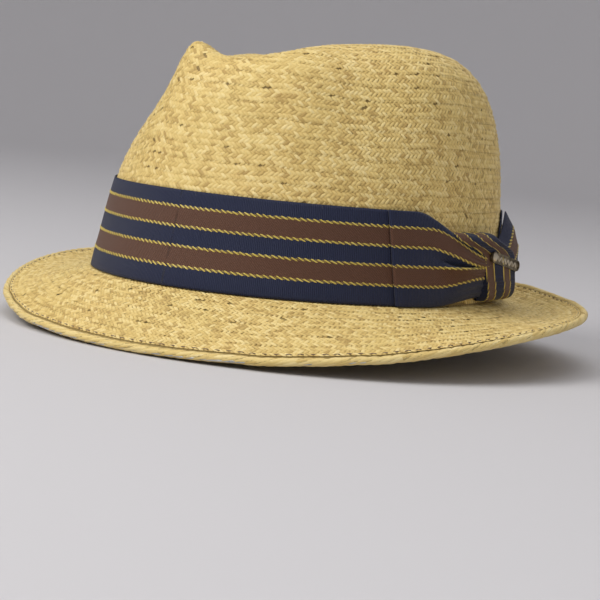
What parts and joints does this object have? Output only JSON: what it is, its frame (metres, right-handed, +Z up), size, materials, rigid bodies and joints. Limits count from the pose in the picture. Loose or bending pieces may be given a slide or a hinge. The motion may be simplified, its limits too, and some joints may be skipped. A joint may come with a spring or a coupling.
{
  "type": "straw fedora hat",
  "caption": "Stingy-brim straw fedora with a creased, pinched crown, snap-down front brim, striped ribbon band with side bow and metal bar pin.",
  "frame": {"origin": "centre of the head opening at the headline, where the crown meets the brim", "axes": "+Z up to the crown, -Y to the front of the hat, +X to the wearer's left, where the bow is"},
  "size_m": [0.2702, 0.2651, 0.1358],
  "materials": {
    "straw": "sewn natural straw braid, matt with a slight sheen",
    "ribbon": "navy, brown and yellow striped grosgrain",
    "antique_brass": "antique, worn bright on the rim",
    "sweatband": "black cotton twill",
    "small_ribbon": "narrow black ribbon",
    "thread": "twisted sewing thread",
    "spring_wire": "spring steel",
    "ferrule": "crimped tube",
    "reed_plastic": "clear nylon reed",
    "label_cloth": "blank woven label"
  },
  "bodies": {
    "hat": {"straw_crown": "straw", "brim_main": "straw", "edge_row_main": "straw", "brim_wire_main": "spring_wire", "wire_ferrule": "ferrule", "hat_band": "ribbon", "band_tacks": "thread", "bow_front_wing": "ribbon", "bow_knot": "ribbon", "bow_back_wing": "ribbon", "pin_bar": "antique_brass", "pin_prongs": "antique_brass", "sweatband": "sweatband", "sweatband_stitches": "thread", "sweatband_bow": "small_ribbon", "reed_tape": "small_ribbon", "reed": "reed_plastic", "size_label": "label_cloth"},
    "front_brim": {"brim_front": "straw", "edge_row_front": "straw", "brim_wire_front": "spring_wire"}
  },
  "joints": [
    {"name": "brim_front_snap", "type": "hinge", "parent": "hat", "child": "front_brim", "pos_m": [0, -0.1063, 0], "axis": [-1, 0, 0], "range_deg": [0, 35]}
  ]
}
